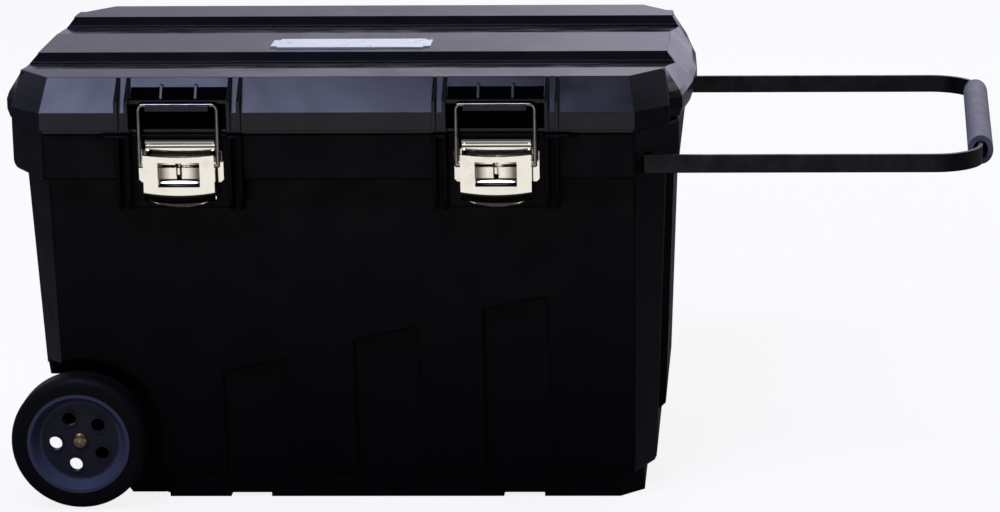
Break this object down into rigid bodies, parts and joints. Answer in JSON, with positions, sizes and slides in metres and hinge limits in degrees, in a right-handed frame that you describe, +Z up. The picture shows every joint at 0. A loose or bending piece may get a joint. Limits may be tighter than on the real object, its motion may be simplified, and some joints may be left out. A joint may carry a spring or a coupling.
{
  "type": "rolling toolbox",
  "caption": "Wheeled plastic job chest with a hinged ridged lid, draw latches, a lift-out tray and a pull handle that slides out of one end.",
  "frame": {"origin": "on the floor, under the centre of the tub", "axes": "+X towards the pull handle, +Y away from the latched front, +Z up"},
  "size_m": [1.0909, 0.498, 0.4776],
  "materials": {
    "tub_plastic": "fine moulded texture, black",
    "lid_plastic": "fine moulded texture, charcoal black",
    "badge": "bare silver-white plate",
    "seal": "matt foam rubber",
    "steel": "plain zinc-plated steel",
    "tyre": "solid black rubber",
    "hub_plastic": "slate grey, low gloss",
    "cap_brass": "domed push cap",
    "handle_paint": "black paint, chipped on edges",
    "grip": "soft grey grip",
    "guide_plastic": "plain black nylon",
    "tray_plastic": "fine moulded texture, black",
    "latch_chrome": "warm nickel plating"
  },
  "bodies": {
    "chest": {"tub": "tub_plastic", "hinge_pins": "steel", "axle": "steel", "axle_washers": "steel", "axle_caps": "cap_brass", "front_handle_guides": "guide_plastic", "rear_handle_guides": "guide_plastic", "left_latch_base": "latch_chrome", "left_latch_pin": "latch_chrome", "left_latch_rivets": "latch_chrome", "right_latch_base": "latch_chrome", "right_latch_pin": "latch_chrome", "right_latch_rivets": "latch_chrome"},
    "lid": {"lid": "lid_plastic", "badge_plate": "badge", "lid_seal": "seal"},
    "handle": {"handle_bar": "handle_paint", "grip_sleeve": "grip", "arm_glides": "guide_plastic"},
    "tray": {"tote_tray": "tray_plastic", "tray_handle": "tray_plastic"},
    "front_wheel": {"front_tyre": "tyre", "front_hub": "hub_plastic"},
    "rear_wheel": {"rear_tyre": "tyre", "rear_hub": "hub_plastic"},
    "left_lever": {"left_latch_lever": "latch_chrome"},
    "left_bail": {"left_latch_bail": "latch_chrome"},
    "right_lever": {"right_latch_lever": "latch_chrome"},
    "right_bail": {"right_latch_bail": "latch_chrome"}
  },
  "joints": [
    {"name": "lid_hinge", "type": "hinge", "parent": "chest", "child": "lid", "pos_m": [0, 0.242, 0.4245], "axis": [-1, 0, 0], "range_deg": [0, 105]},
    {"name": "handle_slide", "type": "slide", "parent": "chest", "child": "handle", "axis": [1, 0, 0], "range_m": [-0.308, 0]},
    {"name": "tray_slide", "type": "slide", "parent": "chest", "child": "tray", "axis": [1, 0, 0], "range_m": [-0.11, 0.1]},
    {"name": "front_wheel_spin", "type": "hinge", "parent": "chest", "child": "front_wheel", "pos_m": [-0.2915, -0.22, 0.0761], "axis": [0, 1, 0], "continuous": true},
    {"name": "rear_wheel_spin", "type": "hinge", "parent": "chest", "child": "rear_wheel", "pos_m": [-0.2915, 0.22, 0.0761], "axis": [0, 1, 0], "continuous": true},
    {"name": "left_latch_swing", "type": "hinge", "parent": "chest", "child": "left_lever", "pos_m": [-0.1695, -0.2385, 0.391], "axis": [-1, 0, 0], "range_deg": [0, 95]},
    {"name": "left_bail_swing", "type": "hinge", "parent": "left_lever", "child": "left_bail", "pos_m": [-0.1695, -0.2445, 0.385], "axis": [-1, 0, 0], "range_deg": [-100, 0]},
    {"name": "right_latch_swing", "type": "hinge", "parent": "chest", "child": "right_lever", "pos_m": [0.1695, -0.2385, 0.391], "axis": [-1, 0, 0], "range_deg": [0, 95]},
    {"name": "right_bail_swing", "type": "hinge", "parent": "right_lever", "child": "right_bail", "pos_m": [0.1695, -0.2445, 0.385], "axis": [-1, 0, 0], "range_deg": [-100, 0]}
  ],
  "couplings": [
    {"joint": "left_bail_swing", "follows": "left_latch_swing", "ratio": -1.04},
    {"joint": "right_bail_swing", "follows": "right_latch_swing", "ratio": -1.04}
  ]
}
